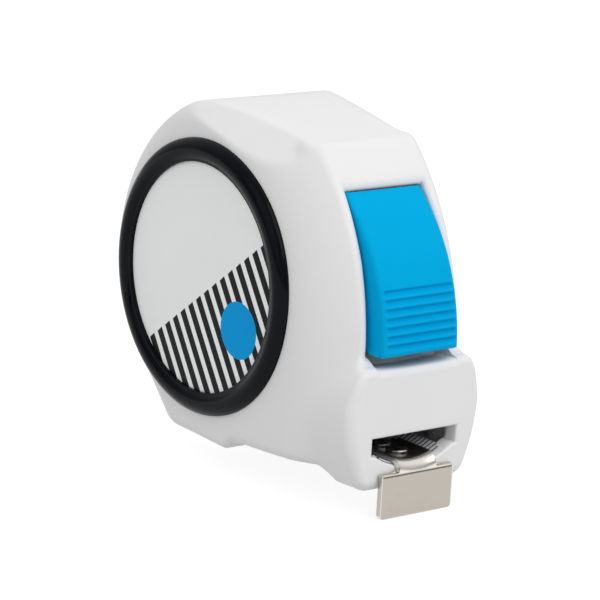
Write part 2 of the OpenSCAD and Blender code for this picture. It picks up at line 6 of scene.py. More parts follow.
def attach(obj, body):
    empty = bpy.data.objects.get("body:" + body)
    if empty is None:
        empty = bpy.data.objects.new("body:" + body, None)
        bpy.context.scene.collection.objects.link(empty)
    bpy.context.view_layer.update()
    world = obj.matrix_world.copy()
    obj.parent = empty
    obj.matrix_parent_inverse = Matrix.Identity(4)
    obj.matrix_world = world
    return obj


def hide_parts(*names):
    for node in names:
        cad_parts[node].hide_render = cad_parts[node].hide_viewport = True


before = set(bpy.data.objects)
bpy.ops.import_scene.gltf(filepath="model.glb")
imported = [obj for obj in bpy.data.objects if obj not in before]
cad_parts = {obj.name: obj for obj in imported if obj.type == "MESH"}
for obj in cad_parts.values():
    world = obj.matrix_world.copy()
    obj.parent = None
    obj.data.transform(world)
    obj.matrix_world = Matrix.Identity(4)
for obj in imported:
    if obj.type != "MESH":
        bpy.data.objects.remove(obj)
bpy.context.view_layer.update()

scene = bpy.context.scene
scene.view_settings.view_transform = "Standard"

# ==== Camera ================================================================
# A long lens from a little above the front corner, turned slightly about its own axis.
az, el, roll = np.radians([39.08, 13.83, 3.21])
back = np.array([np.cos(az) * np.cos(el), -np.sin(az) * np.cos(el), np.sin(el)])
right = np.array([np.sin(az), np.cos(az), 0.0])
up = np.cross(back, right)
place = back * 0.52827 + right * 0.004826 - up * 0.005725 + np.array([0, 0, 0.0305])
turned_right = np.cos(roll) * right + np.sin(roll) * up
turned_up = -np.sin(roll) * right + np.cos(roll) * up
camera = bpy.data.objects.new("camera", bpy.data.cameras.new("camera"))
camera.data.lens = 171.02
camera.data.sensor_width = 36.0
camera.data.clip_start, camera.data.clip_end = 0.01, 20.0
camera.matrix_world = Matrix([[*row, p] for row, p in
                              zip(np.column_stack([turned_right, turned_up, back]), place)] + [[0, 0, 0, 1]])
scene.collection.objects.link(camera)
scene.camera = camera

# ==== Case: moulded body and screwed-on cover ================================
# Two shells of white ABS, injection moulded with a fine satin texture. They meet behind the
# label's side wall and are held by four screws. The outside is one form, cut at the parting plane.
MM = 0.001
HUB, RING_R = np.array([0.0, 30.5]), 23.0          # reel axis seen from the side; inner ring of the mesh
SIDE = 17.0                                        # the label's side face lies at -SIDE
FRONT_C, FRONT_R = np.array([-12.8, 22.6]), 51.7   # arc of the front
FLAT_R, TAPER = 38.0, 0.0327                       # sides: flat inside FLAT_R of FRONT_C, then closing in
BARREL_Z = 13.5                                    # height at which the nose is widest
NOSE_TOP = 20.2                                    # upper end of the flat nose front
PART_Y, GAP, WALL = 14.5, 0.04, 1.4                # parting plane, half its gap, thickness of the shells
# Mouth: radius of its lip, depth, top, ends of its dished lower edge, half width
LIP, MOUTH_D, MOUTH_TOP, MOUTH_SIDE, MOUTH_HALF = 0.45, 3.3, 9.85, 6.65, 9.7
WIN_HALF, WIN_D = 9.05, 6.0                        # button window: half width, depth of its walls
CASE_WHITE = (0.838, 0.836, 0.842)


def rounded_corner(a, b, d, count):
    """Arc of radius b[2] that touches a-b and b-d, with count(turn, radius) points: the tangent point
    turned about the arc's centre."""
    u, w = (b - a)[:2], (d - b)[:2]
    u, w = u / np.hypot(*u), w / np.hypot(*w)
    t = np.arctan2(u[0] * w[1] - u[1] * w[0], u @ w)
    s, r = np.sign(t), b[2]
    m = b[:2] - u * r * np.tan(abs(t) / 2) + s * r * np.array([-u[1], u[0]])
    k = np.linspace(0, t, count(abs(t), r))
    q = -s * r * np.array([-u[1], u[0]])
    return m + np.column_stack([q[0] * np.cos(k) - q[1] * np.sin(k), q[0] * np.sin(k) + q[1] * np.cos(k)])


def walk(p, step):
    """Points every `step` along the line through p, and the distance walked to each."""
    gone = np.hstack([[0], np.cumsum(np.hypot(*np.diff(p, axis=0).T))])
    walked = np.linspace(0, gone[-1], int(gone[-1] / step))
    return np.column_stack([np.interp(walked, gone, p[:, k]) for k in (0, 1)]), walked


def rounded(corners):
    """Closed outline through corners (x, z, r), each replaced by its arc, as points 0.05 apart."""
    c = np.array(corners, float)
    arcs = [rounded_corner(a, b, d, lambda t, r: max(4, int(t * r / 0.12)))
            for a, b, d in zip(np.roll(c, 1, axis=0), c, np.roll(c, -1, axis=0))]
    return walk(np.vstack(arcs + [arcs[0][:1]]), 0.05)


def on_front(a):
    """Point of the front's arc at the angle a."""
    return FRONT_C + FRONT_R * np.array([np.cos(np.radians(a)), np.sin(np.radians(a))])


mid, high = 22.4, 42.8
knee = FRONT_C + FRONT_R / np.cos(np.radians(high - mid)) * np.array(
    [np.cos(np.radians(mid)), np.sin(np.radians(mid))])
brow = on_front(high) + 1.31 * np.array([-np.sin(np.radians(high)), np.cos(np.radians(high))])
outline, walked = rounded([
    (42, 0, 2.3), (42, 22.4, 1.5), (38.93, 22.65, 1.9), (*knee, FRONT_R), (*brow, 3.5), (5.5, 61.6, 90),
    (-5.8, 62.6, 15.5), (-31.65, 49.85, 33.4), (-27.1, 18.2, 23), (-9.4, 0, 5), (8.3, 0, 1.8),
    (11, 1.9, 2), (31, 2.6, 1.5), (34.2, 0, 1.6)])
total = walked[-1]


def station(x, z):
    """Distance along the outline to its point nearest (x, z)."""
    return walked[np.argmin(np.hypot(outline[:, 0] - x, outline[:, 1] - z))]


def along(s):
    """Outline point and inward direction at the distances s; the direction is across a short chord."""
    f = lambda t: np.column_stack([np.interp(t % total, walked, outline[:, k]) for k in (0, 1)])
    d = f(s + 0.12) - f(s - 0.12)
    d /= np.hypot(d[:, 0], d[:, 1])[:, None]
    return f(s), np.column_stack([-d[:, 1], d[:, 0]])


def soft_min(a, b, k):
    """Smaller of a and b, with a round change of width k between them."""
    h = np.maximum(k - np.abs(a - b), 0) / k
    return np.minimum(a, b) - h * h * k / 4


def soft_max(a, b, k):
    """Larger of a and b, with the same round change."""
    return -soft_min(-a, -b, k)


def half_width(x, z):
    """Half width of the case at a point of its side: SIDE near the reel, closing in by TAPER times the
    square of the distance past FLAT_R from the front arc's centre; leaning in past a slanting crease;
    and a barrel about the nose, widest at BARREL_Z."""
    r = np.hypot(x - FRONT_C[0], z - FRONT_C[1])
    taper = SIDE - TAPER * np.maximum(0, r - FLAT_R) ** 2
    past = (x - 13.8) * np.sin(np.radians(42.3)) - (z - 2.3) * np.cos(np.radians(42.3))
    lean = SIDE + 0.05 - 0.10 * past - 0.0035 * past * np.abs(past)
    barrel = 15.35 - (z - BARREL_Z) ** 2 / np.where(z < BARREL_Z, 45, 26)
    body = soft_min(taper, lean, 0.35)
    nose = soft_min(barrel, lean, 0.5)
    return np.maximum(soft_max(body, nose, 0.9), 6)


def stretch(rows):
    """Row stations: (from, to, count) pieces one after the other, each without its last row."""
    return np.hstack([np.linspace(a, b, n, endpoint=False) for a, b, n in rows])


# Rows: once round the outline. The mouth rows stand at fixed heights of the flat nose front.
s_up = station(42, 10) - 10            # nose front: distance = s_up + height
quarter = np.linspace(0, np.pi / 2, 5)
k_top, k_in, k_win = station(40.7, 22.5), station(38.87, 24.4), station(28.93, 51.36)
keys = [station(x, z) for x, z in (
    (26.9, 55.3), (23.6, 58.6), (20.4, 59.3), (5.5, 61.6), (-20, 58), (-33, 33),
    (-9.4, 0), (8.3, 0), (11, 1.9), (31, 2.6), (34.2, 0))]
rows = [
    s_up + np.linspace(2.2, MOUTH_SIDE - LIP, 10)[:-1],        # chin, up to the mouth
    s_up + MOUTH_SIDE - LIP + LIP * np.sin(quarter)[:-1],      # mouth's lower lip
    np.full(4, s_up + MOUTH_SIDE),                             # its lower wall
    s_up + np.linspace(MOUTH_SIDE, MOUTH_TOP, 9),              # the opening
    np.full(4, s_up + MOUTH_TOP),                              # its upper wall
    s_up + MOUTH_TOP + LIP * (1 - np.cos(quarter))[1:],        # its upper lip
    s_up + np.linspace(MOUTH_TOP + LIP, NOSE_TOP, 18)[1:-1],   # nose front
    stretch([(s_up + NOSE_TOP, k_top, 18), (k_top, k_in, 18)]),  # nose top
    np.linspace(k_in, k_win, 46),                              # button window
    k_win + np.hstack([[0, 0, 0], 1.6 * (1 - np.cos(np.linspace(0, np.pi / 2, 7)))[1:]]),
    stretch([(k_win + 1.75, keys[0], 10), (keys[0], keys[1], 15), (keys[1], keys[2], 12),
             (keys[2], keys[3], 28), (keys[3], keys[4], 34), (keys[4], keys[5], 32),
             (keys[5], keys[6], 50), (keys[6], keys[7] - 1.2, 18), (keys[7] - 1.2, keys[8] + 1.2, 14),
             (keys[8] + 1.2, keys[9] - 1, 20), (keys[9] - 1, keys[10] + 1.2, 16),
             (keys[10] + 1.2, total + s_up - 1.4, 6), (total + s_up - 1.4, total + s_up + 2.2, 14)])]
S = np.hstack(rows)
ends = np.cumsum([0] + [len(r) for r in rows])
CHIN, LIP_LOW, WALL_LOW, MOUTH, WALL_TOP, LIP_TOP, FACE, NOSE, WINDOW, WIN_TOP, REST = [
    slice(a, b) for a, b in zip(ends[:-1], ends[1:])]
R = len(S)
P, N = along(S)

# Edge rounding radius per row: the sides turn into the outline with it
far = total + s_up
rho = np.interp(
    S, [s_up + 2.2, s_up + 5, s_up + 17, s_up + 20, k_top, k_in, k_in + 3, k_win - 2, keys[0], keys[1],
        keys[1] + 3, keys[1] + 12, keys[6] - 3, keys[6] + 8, keys[7] - 0.5, keys[8] + 1.5,
        keys[9] - 2, keys[10], far - 2, far + 2],
    [1.9, 2.3, 2.2, 1.35, 1.2, 0.5, 0.5, 0.6, 0.9, 0.8, 1.0, 3.4, 3.4, 2.6, 1.6, 2.0, 1.8, 1.5, 1.9, 1.9])
edge_half = half_width(P[:, 0], P[:, 1]) - rho

# Wall of an opening per row: its half width, its rounded lip, its depth and how far in this row is
wall_y = np.full(R, WIN_HALF)
wall_y[REST] = np.minimum(WIN_HALF, edge_half[REST] - 1.4)
lip, deep, row_in = np.zeros(R), np.zeros(R), np.zeros(R)
wall_y[CHIN] = np.interp(S[CHIN], [s_up + 2, s_up + 5], [WIN_HALF, MOUTH_HALF])
wall_y[LIP_LOW.start:LIP_TOP.stop] = MOUTH_HALF
wall_y[FACE] = np.interp(S[FACE], [s_up + 10.3, s_up + 18], [MOUTH_HALF, WIN_HALF])
lip[LIP_LOW.start:LIP_TOP.stop] = LIP
deep[LIP_LOW.start:LIP_TOP.stop] = MOUTH_D
row_in[LIP_LOW] = LIP * (1 - np.cos(quarter))[:-1]
row_in[WALL_LOW] = np.array([LIP, 1.3, 2.3, 3.2])
row_in[MOUTH] = MOUTH_D
row_in[WALL_TOP] = np.array([3.2, 2.3, 1.3, LIP])
row_in[LIP_TOP] = LIP * (1 - np.sin(quarter))[1:]
lip[WINDOW] = np.interp(P[WINDOW, 1], [24.4, 27, 31, 36, 40], [3.5, 3.0, 2.2, 1.45, 1.0])
lip[WIN_TOP] = 1.0
deep[WINDOW] = deep[WIN_TOP] = row_in[WINDOW] = WIN_D
row_in[WIN_TOP] = np.hstack([[5.0, 2.5, 1.0], 1 - np.sin(np.linspace(0, np.pi / 2, 7))[1:]])
S_open = np.zeros(R, bool)
S_open[MOUTH] = S_open[WINDOW] = True

# Columns, from the middle of one side over the band to the middle of the other
n_a, n_b, n_r, n_w, n_m = 30, 9, 9, 4, 24
side_t = np.linspace(1, 0, n_a + 1)[:-1]           # 1 at the inner ring, 0 at the rounded edge
turn_b = np.linspace(np.pi / 2, 0, n_b + 1)[:-1]   # edge rounding
turn_r = np.linspace(0, np.pi / 2, n_r + 1)        # lip rounding
wall_t = np.linspace(0, 1, n_w + 1)[1:]
mid_t = np.linspace(-1, 1, n_m + 1)[1:-1]

# Where each row's side line ends on the ring RING_R about the hub
turns = np.radians(np.interp(
    S, [s_up + 2, s_up + 10, s_up + 20, k_top, k_in, k_win, keys[1], keys[3], station(-5.8, 62.6),
        station(-26, 51), station(-27.1, 18.2), keys[6], keys[7], keys[8], keys[9], keys[10], far + 2],
    [-26, -23.5, -20.5, -19.5, -18.5, 31, 46, 79, 100, 138, 207, 252, 288, 292, 322, 331, 334]))


def side_zone():
    """Side face of each row: straight lines from the rounded edge to the ring about the hub, with the
    half width law across them, then the quarter circle of radius rho that turns into the outline."""
    q = P + N * rho[:, None]
    c = HUB + RING_R * np.column_stack([np.cos(turns), np.sin(turns)])
    xz = q[:, None] + (c - q)[:, None] * side_t[None, :, None]
    y = half_width(xz[..., 0], xz[..., 1])
    inset = rho[:, None] * (1 - np.cos(turn_b))
    xz_b = P[:, None] + N[:, None] * inset[..., None]
    y_b = half_width(xz_b[..., 0], xz_b[..., 1]) - rho[:, None] * (1 - np.sin(turn_b))
    return np.hstack([xz, xz_b]), np.hstack([y, y_b])


def band():
    """Strip between the two edges: half of it is edge, lip rounding and wall; the middle joins them.
    A point lies the smaller of its row's and its column's depth inside the outline. On the nose top
    the strip follows a low ridge beside the button and a floor that dips in the middle."""
    start = np.minimum(edge_half, 10.6)
    y_r = start[:, None] - (start - wall_y)[:, None] * np.sin(turn_r)
    y_r[:, 0] = edge_half
    half_y = np.hstack([y_r, np.repeat(wall_y[:, None], n_w, axis=1)])
    half_in = np.hstack([lip[:, None] * (1 - np.cos(turn_r)), lip[:, None] + (deep - lip)[:, None] * wall_t])
    y = np.hstack([-half_y, wall_y[:, None] * mid_t, half_y[:, ::-1]])
    across = np.hstack([half_in, np.repeat(deep[:, None], n_m - 1, axis=1), half_in[:, ::-1]])
    inside = np.where(S_open[:, None], across, np.minimum(across, row_in[:, None]))
    xz = P[:, None] + N[:, None] * inside[..., None]
    # the mouth's lower edge is dished like the blade
    dish = soft_min(19.4 - np.sqrt(15.6 ** 2 - np.minimum(np.abs(y), MOUTH_HALF) ** 2),
                    MOUTH_SIDE + 0 * y, 0.3)
    share = np.zeros(R)
    share[CHIN] = (S[CHIN] - s_up - 2.2) / (MOUTH_SIDE - LIP - 2.2)
    share[LIP_LOW.start:WALL_LOW.stop] = 1
    share[MOUTH] = (MOUTH_TOP - (S[MOUTH] - s_up)) / (MOUTH_TOP - MOUTH_SIDE)
    xz[..., 1] += share[:, None] * np.where(np.abs(y) < MOUTH_HALF - 0.01, dish - MOUTH_SIDE, 0)
    # nose top: ridge path, floor edge path and floor middle path, by share of the way back
    t = (S[NOSE] - (s_up + NOSE_TOP)) / (k_in - s_up - NOSE_TOP)

    def path(at, *through):
        """Line through the given x and z values at shares `at` of the way, softened by a short mean."""
        return np.column_stack([np.convolve(
            np.pad(np.interp(t, at, v), 2, mode="reflect", reflect_type="odd"),
            [0.1, 0.2, 0.4, 0.2, 0.1], "valid") for v in through])

    ridge = path([0, 0.12, 0.3, 0.42, 0.55, 0.68, 0.8, 0.9, 1],
                 [42, 42, 41.5, 40.8, 40.05, 39.3, 38.2, 36.8, 35.4],
                 [NOSE_TOP, 20.95, 22.05, 22.3, 22.5, 23.05, 23.6, 23.75, 24.1])
    floor = path([0, 0.12, 0.3, 0.42, 0.6, 1],
                 [42, 42, 41.45, 40.7, 39.0, 35.0], [NOSE_TOP, 20.95, 22.0, 22.15, 22.05, 21.6])
    lift = (1 - np.cos(turn_r))[None, :, None]
    side = P[NOSE][:, None] + (ridge - P[NOSE])[:, None] * lift
    wall = ridge[:, None] + (floor - ridge)[:, None] * wall_t[None, :, None]
    dip = np.interp(t, [0, 0.12, 0.35, 0.6, 1], [0, 0.05, 0.2, 0.35, 0.5])[:, None] * (1 - mid_t ** 2)
    middle = np.repeat(floor[:, None], n_m - 1, axis=1)
    middle[..., 1] -= dip
    half = np.hstack([side, wall])
    xz[NOSE] = np.hstack([half, middle, half[:, ::-1]])
    return xz, y


def carve(p):
    """Bevel along both top edges: what stands over a plane through three points is pushed back to it,
    with soft borders. It ends forward in a short slanting shoulder just behind the brow."""
    a, b = np.array([-8, 15.36, 62.1]), np.array([20, 10.7, 59.4])
    for side, low in ((-1, 55.2), (1, 56.6)):      # shallower on the cover, to clear its screw heads
        n = np.cross(b - a, np.array([20, 14.6, low]) - a)
        n /= np.linalg.norm(n)
        m = np.array([1, side, 1])
        over = (p * m - a) @ n
        fade = np.clip((22.4 + 0.6 * np.clip(59.5 - p[..., 2], 0, 6) - p[..., 0]) / 4.0, 0, 1)
        push = soft_max(over, 0 * over, 0.5) * fade * fade * (3 - 2 * fade)
        push *= np.clip((p[..., 1] * side - 4) / 4, 0, 1)
        p = p - push[..., None] * n * m
    return p


def upright(xz, y):
    """Points (x, y, z) from points of the outline's plane and their y."""
    return np.stack([xz[..., 0], y, xz[..., 1]], axis=-1)


side_xz, side_y = side_zone()
grid = carve(np.hstack([upright(side_xz, -side_y), upright(*band()), upright(side_xz, side_y)[:, ::-1]]))
# the far side runs on over the hub and closes there
rim, pole = grid[:, -1], np.array([HUB[0], SIDE, HUB[1]])
inward = np.linspace(1, 0, 9)[1:]
grid = np.hstack([grid, pole + (rim - pole)[:, None] * inward[None, :, None]])


def edit(mesh, change):
    """Lets `change` work on the mesh as a bmesh."""
    bm = bmesh.new()
    bm.from_mesh(mesh)
    change(bm)
    bm.to_mesh(mesh)
    bm.free()
    return mesh


def grid_mesh(name, points, closed_u=False, keep=None, scale=MM):
    """Mesh of a grid of points (rows, columns, 3): one four-sided face for each cell that `keep`
    allows, rows joined last to first if closed_u. Coincident points are merged, so that seams and
    poles close."""
    nr, nc = points.shape[:2]
    i = np.arange(nr if closed_u else nr - 1)[:, None]
    j = np.arange(nc - 1)[None, :]
    k = (i + 1) % nr
    cells = np.stack([i * nc + j, k * nc + j, k * nc + j + 1, i * nc + j + 1], axis=-1)
    if keep is not None:
        cells = cells[keep]
    cells = cells.reshape(-1, 4)
    mesh = bpy.data.meshes.new(name)
    mesh.from_pydata((points.reshape(-1, 3) * scale).tolist(), [], cells.tolist())

    def close(bm):
        """Merges what coincides and drops what is left over."""
        bmesh.ops.remove_doubles(bm, verts=bm.verts, dist=2e-6)
        bmesh.ops.dissolve_degenerate(bm, dist=1e-7, edges=bm.edges)
        bmesh.ops.delete(bm, geom=[v for v in bm.verts if not v.link_faces], context="VERTS")

    return edit(mesh, close)


def face_outward(mesh, way):
    """Makes the faces agree, and turns them all if the one furthest along `way` looks back."""
    def turn(bm):
        """Recalculates the faces, then looks at the outermost one."""
        bmesh.ops.recalc_face_normals(bm, faces=bm.faces)
        outermost = max(bm.faces, key=lambda f: f.calc_center_median().dot(way))
        if outermost.normal.dot(way) < 0:
            bmesh.ops.reverse_faces(bm, faces=bm.faces)

    edit(mesh, turn)


def piece(name, mesh, material, smooth=40):
    """Object at the origin from a mesh, smooth-shaded but for edges sharper than `smooth` degrees."""
    obj = bpy.data.objects.new(name, mesh)
    scene.collection.objects.link(obj)
    mesh.shade_smooth()
    mesh.set_sharp_from_angle(angle=np.radians(smooth))
    mesh.materials.clear()
    mesh.materials.append(material)
    return obj


def modify(obj, kind, **values):
    """Replaces the object's mesh by what a modifier with the given values makes of it."""
    m = obj.modifiers.new(kind, kind)
    for k, v in values.items():
        setattr(m, k, v)
    made = bpy.data.meshes.new_from_object(obj.evaluated_get(bpy.context.evaluated_depsgraph_get()))
    made.name = obj.name
    obj.modifiers.clear()
    old, obj.data = obj.data, made
    bpy.data.meshes.remove(old)


def surface_group(name, inputs):
    """Node group that takes a colour and the other named inputs, and gives colour, roughness, height."""
    g = bpy.data.node_groups.new(name, "ShaderNodeTree")
    for label, kind, value in [("Colour", "Color", (0.8, 0.8, 0.8, 1)), *inputs]:
        g.interface.new_socket(label, in_out="INPUT", socket_type="NodeSocket" + kind).default_value = value
    for label, kind in (("Colour", "Color"), ("Roughness", "Float"), ("Height", "Float")):
        g.interface.new_socket(label, in_out="OUTPUT", socket_type="NodeSocket" + kind)
    return g, g.nodes.new("NodeGroupInput"), g.nodes.new("NodeGroupOutput")


def node(tree, kind, at=None, **values):
    """Adds a node, sets its properties and its input values by name or index."""
    n = tree.nodes.new(kind)
    for k, v in values.items():
        setattr(n, k, v)
    for k, v in (at or {}).items():
        n.inputs[k].default_value = v
    return n


def math(tree, op, a, b=None, clamp=False):
    """Result of an operation on numbers or sockets, held in 0..1 if clamped."""
    n = tree.nodes.new("ShaderNodeMath")
    n.operation, n.use_clamp = op, clamp
    for k, v in enumerate((a, b)):
        if v is None:
            continue
        if isinstance(v, (int, float)):
            n.inputs[k].default_value = v
        else:
            tree.links.new(v, n.inputs[k])
    return n.outputs[0]


def object_mm(tree, axis):
    """Object coordinate along an axis, in millimetres."""
    xyz = node(tree, "ShaderNodeSeparateXYZ")
    tree.links.new(node(tree, "ShaderNodeTexCoord").outputs["Object"], xyz.inputs[0])
    return math(tree, "MULTIPLY", xyz.outputs[axis], 1000.0)


def mix(tree, fac, a, b):
    """Blend of two colours, each a tuple or a socket."""
    n = node(tree, "ShaderNodeMix", data_type="RGBA")
    tree.links.new(fac, n.inputs[0])
    for k, v in ((6, a), (7, b)):
        if isinstance(v, tuple):
            n.inputs[k].default_value = (*v, 1)
        else:
            tree.links.new(v, n.inputs[k])
    return n.outputs[2]


def step(tree, v, a, b, low=0.0, high=1.0):
    """`low` at a and `high` at b, straight between and level outside."""
    n = node(tree, "ShaderNodeMapRange", {"From Min": a, "From Max": b, "To Min": low, "To Max": high})
    tree.links.new(v, n.inputs["Value"])
    return n.outputs[0]


def moulded_group():
    """Injection-moulded plastic: spark-eroded grain, broad cloudy variation in colour and gloss, and a
    few handling scratches. Everything comes from noise on object coordinates."""
    g, gi, go = surface_group("moulded_plastic", [
        ("Rough", "Float", 0.4), ("Grain", "Float", 0.3), ("Scuff", "Float", 0.3)])
    co = node(g, "ShaderNodeTexCoord").outputs["Object"]
    fine = node(g, "ShaderNodeTexNoise", {"Scale": 4200.0, "Detail": 3.0, "Roughness": 0.6})
    broad = node(g, "ShaderNodeTexNoise", {"Scale": 55.0, "Detail": 4.0, "Roughness": 0.55})
    stretch_map = node(g, "ShaderNodeMapping", {"Rotation": (0.4, 0.7, 0.3), "Scale": (60.0, 900.0, 2600.0)})
    hair = node(g, "ShaderNodeTexNoise", {"Scale": 1.0, "Detail": 2.0, "Roughness": 0.5})
    for n in (fine, broad, stretch_map):
        g.links.new(co, n.inputs["Vector"])
    g.links.new(stretch_map.outputs[0], hair.inputs["Vector"])
    scratch = math(g, "MULTIPLY", step(g, hair.outputs["Fac"], 0.70, 0.76), gi.outputs["Scuff"])
    cloud = math(g, "SUBTRACT", broad.outputs["Fac"], 0.5)
    tint = math(g, "ADD", math(g, "MULTIPLY", cloud, 0.06), 1.0)
    hsv = node(g, "ShaderNodeHueSaturation")
    g.links.new(gi.outputs["Colour"], hsv.inputs["Color"])
    g.links.new(math(g, "SUBTRACT", tint, math(g, "MULTIPLY", scratch, 0.05)), hsv.inputs["Value"])
    g.links.new(hsv.outputs[0], go.inputs["Colour"])
    rough = math(g, "ADD", gi.outputs["Rough"], math(g, "MULTIPLY", cloud, 0.18))
    rough = math(g, "ADD", rough, math(g, "MULTIPLY", scratch, 0.12), clamp=True)
    g.links.new(rough, go.inputs["Roughness"])
    grain = math(g, "MULTIPLY", fine.outputs["Fac"], gi.outputs["Grain"])
    g.links.new(math(g, "SUBTRACT", grain, math(g, "MULTIPLY", scratch, 0.5)), go.inputs["Height"])
    return g


moulded = moulded_group()


def material(name, group, bump, values, **principled):
    """Principled material fed by a surface group: colour, roughness and the height of a bump of
    strength 1. Uniform values are set on the shader's own sockets."""
    m = bpy.data.materials.new(name)
    m.use_nodes = True
    t = m.node_tree
    bsdf = t.nodes["Principled BSDF"]
    for k, v in principled.items():
        bsdf.inputs[k.replace("_", " ")].default_value = v
    surface = node(t, "ShaderNodeGroup", values, node_tree=group)
    t.links.new(surface.outputs["Colour"], bsdf.inputs["Base Color"])
    t.links.new(surface.outputs["Roughness"], bsdf.inputs["Roughness"])
    relief = node(t, "ShaderNodeBump", {"Strength": 1.0, "Distance": bump})
    t.links.new(surface.outputs["Height"], relief.inputs["Height"])
    t.links.new(relief.outputs[0], bsdf.inputs["Normal"])
    return m


def plastic(name, colour, rough, grain, scuff, bump, **principled):
    """Material of moulded plastic with its own colour, gloss and grain."""
    return material(name, moulded, bump, {"Colour": (*colour, 1), "Rough": rough, "Grain": grain,
                                          "Scuff": scuff}, **principled)


case_white = plastic("case_white", CASE_WHITE, rough=0.42, grain=0.35, scuff=0.25, bump=0.00003,
                     Specular_IOR_Level=0.35)

# Faces: everything but the openings' middle
cell_open = np.zeros((R, grid.shape[1] - 1), bool)
first = n_a + n_b + n_r + 1 + n_w - 1
row_open = S_open & np.roll(S_open, -1)
row_open[MOUTH.stop - 1] = row_open[WINDOW.stop - 1] = False
cell_open[:, first:first + n_m] = row_open[:, None]
skin = grid_mesh("case_skin", grid, closed_u=True, keep=~cell_open)
face_outward(skin, Vector((1, 0, 0)))


def half_of(mesh, y, upper, name):
    """Copy of a mesh cut by the plane at y, keeping the part above or below it."""
    part = mesh.copy()
    part.name = name
    return edit(part, lambda bm: bmesh.ops.bisect_plane(
        bm, geom=bm.verts[:] + bm.edges[:] + bm.faces[:], dist=1e-7, plane_co=(0, y * MM, 0),
        plane_no=(0, 1, 0), clear_inner=upper, clear_outer=not upper))


body_shell = piece("moulded_case", half_of(skin, PART_Y - GAP, False, "moulded_case"), case_white)
cover_shell = piece("moulded_cover", half_of(skin, PART_Y + GAP, True, "moulded_cover"), case_white)


def round_bar(x, z, r, y0, y1, sides=40):
    """Cylinder along y: two rings of `sides` points, closed to a point in the middle of each end."""
    a = np.linspace(0, 2 * np.pi, sides, endpoint=False)
    ring = lambda q, y: np.column_stack([x + q * np.cos(a), np.full(sides, y), z + q * np.sin(a)])
    return np.stack([ring(0, y0), ring(r, y0), ring(r, y1), ring(0, y1)], axis=1)


def bundle(name, grids):
    """One mesh from several closed grids of points, all faces outwards."""
    bm = bmesh.new()
    for points in grids:
        bm.from_mesh(grid_mesh(name, points, closed_u=True))
    bmesh.ops.recalc_face_normals(bm, faces=bm.faces)
    mesh = bpy.data.meshes.new(name)
    bm.to_mesh(mesh)
    bm.free()
    return mesh


def cut_out(obj, shapes):
    """Cuts closed grids of points out of a closed object."""
    tool = bpy.data.objects.new("cutter", bundle("cutter", shapes))
    scene.collection.objects.link(tool)
    modify(obj, "BOOLEAN", object=tool, operation="DIFFERENCE", solver="EXACT")
    bpy.data.objects.remove(tool)


# Counterbores of the four screws: the cover is capped at the parting plane, bored and opened again
spots = [(-5.5, 58, 16.85), (-8.2, 3.7, 16.4), (14, 54.7, 16.0), (25.6, 8, 16.2)]


def cap(bm):
    """Fills the open edge with a flat face."""
    bmesh.ops.holes_fill(bm, edges=[e for e in bm.edges if e.is_boundary], sides=0)
    bmesh.ops.recalc_face_normals(bm, faces=bm.faces)


def open_again(bm):
    """Takes away the faces that lie in the parting plane."""
    flat = [f for f in bm.faces if all(abs(v.co.y - (PART_Y + GAP) * MM) < 1e-6 for v in f.verts)]
    bmesh.ops.delete(bm, geom=flat, context="FACES")


edit(cover_shell.data, cap)
cut_out(cover_shell, [round_bar(x, z, 2.2, head - 0.9, 20) for x, z, head in spots])
edit(cover_shell.data, open_again)
for shell in (body_shell, cover_shell):
    modify(shell, "SOLIDIFY", thickness=WALL * MM, offset=-1.0)
cover_shell.data.set_sharp_from_angle(angle=np.radians(40))
for shell, cad in ((body_shell, "case_body"), (cover_shell, "side_cover")):
    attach(shell, "case")
    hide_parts(cad)

# ==== Bezel ring =============================================================
# Gloss black ring, moulded in ABS and pressed over the label's edge into the side of the case.
bezel_black = plastic("bezel_black", (0.0045, 0.0052, 0.0075), rough=0.12, grain=0.05, scuff=0.6,
                      bump=0.00001, Specular_IOR_Level=0.08)


def turned(profile, steps=192):
    """Ring turned about the reel axis: the profile (radius, height over the label's side face) is
    carried round the hub in `steps` equal turns."""
    r, h = np.array(profile, float).T
    a = np.linspace(0, 2 * np.pi, steps, endpoint=False)[:, None]
    return np.stack([HUB[0] + r * np.cos(a), np.broadcast_to(-SIDE - h, (steps, len(r))),
                     HUB[1] + r * np.sin(a)], axis=-1)


def curve_through(points, per=6):
    """Smooth profile through a few points: cubic pieces whose slope is half the chord of the
    neighbours, `per` points for each piece."""
    p = np.array(points, float)
    q = np.vstack([2 * p[0] - p[1], p, 2 * p[-1] - p[-2]])
    t = np.linspace(0, 1, per, endpoint=False)[:, None]
    a, b, c, d = (q[k:len(q) - 3 + k, None] for k in range(4))
    body = (b + 0.5 * t * (c - a) + t ** 2 * (a - 2.5 * b + 2 * c - 0.5 * d)
            + t ** 3 * (1.5 * (b - c) + 0.5 * (d - a)))
    return np.vstack([body.reshape(-1, 2), p[-1:]])


ring_profile = np.vstack([
    curve_through([(25.5, -0.3), (25.5, 0.15), (25.35, 0.62), (24.9, 1.1), (24.2, 1.5), (23.4, 1.68),
                   (22.7, 1.62), (22.15, 1.42), (21.75, 1.2)], 5),
    curve_through([(21.7, 1.14), (21.42, 1.1), (21.22, 1.0), (21.15, 0.8), (21.15, 0.3)], 4)])
bezel = piece("bezel", grid_mesh("bezel", turned(ring_profile), closed_u=True), bezel_black, smooth=50)
face_outward(bezel.data, Vector((0, -1, 0)))
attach(bezel, "case")
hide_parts("bezel_ring")

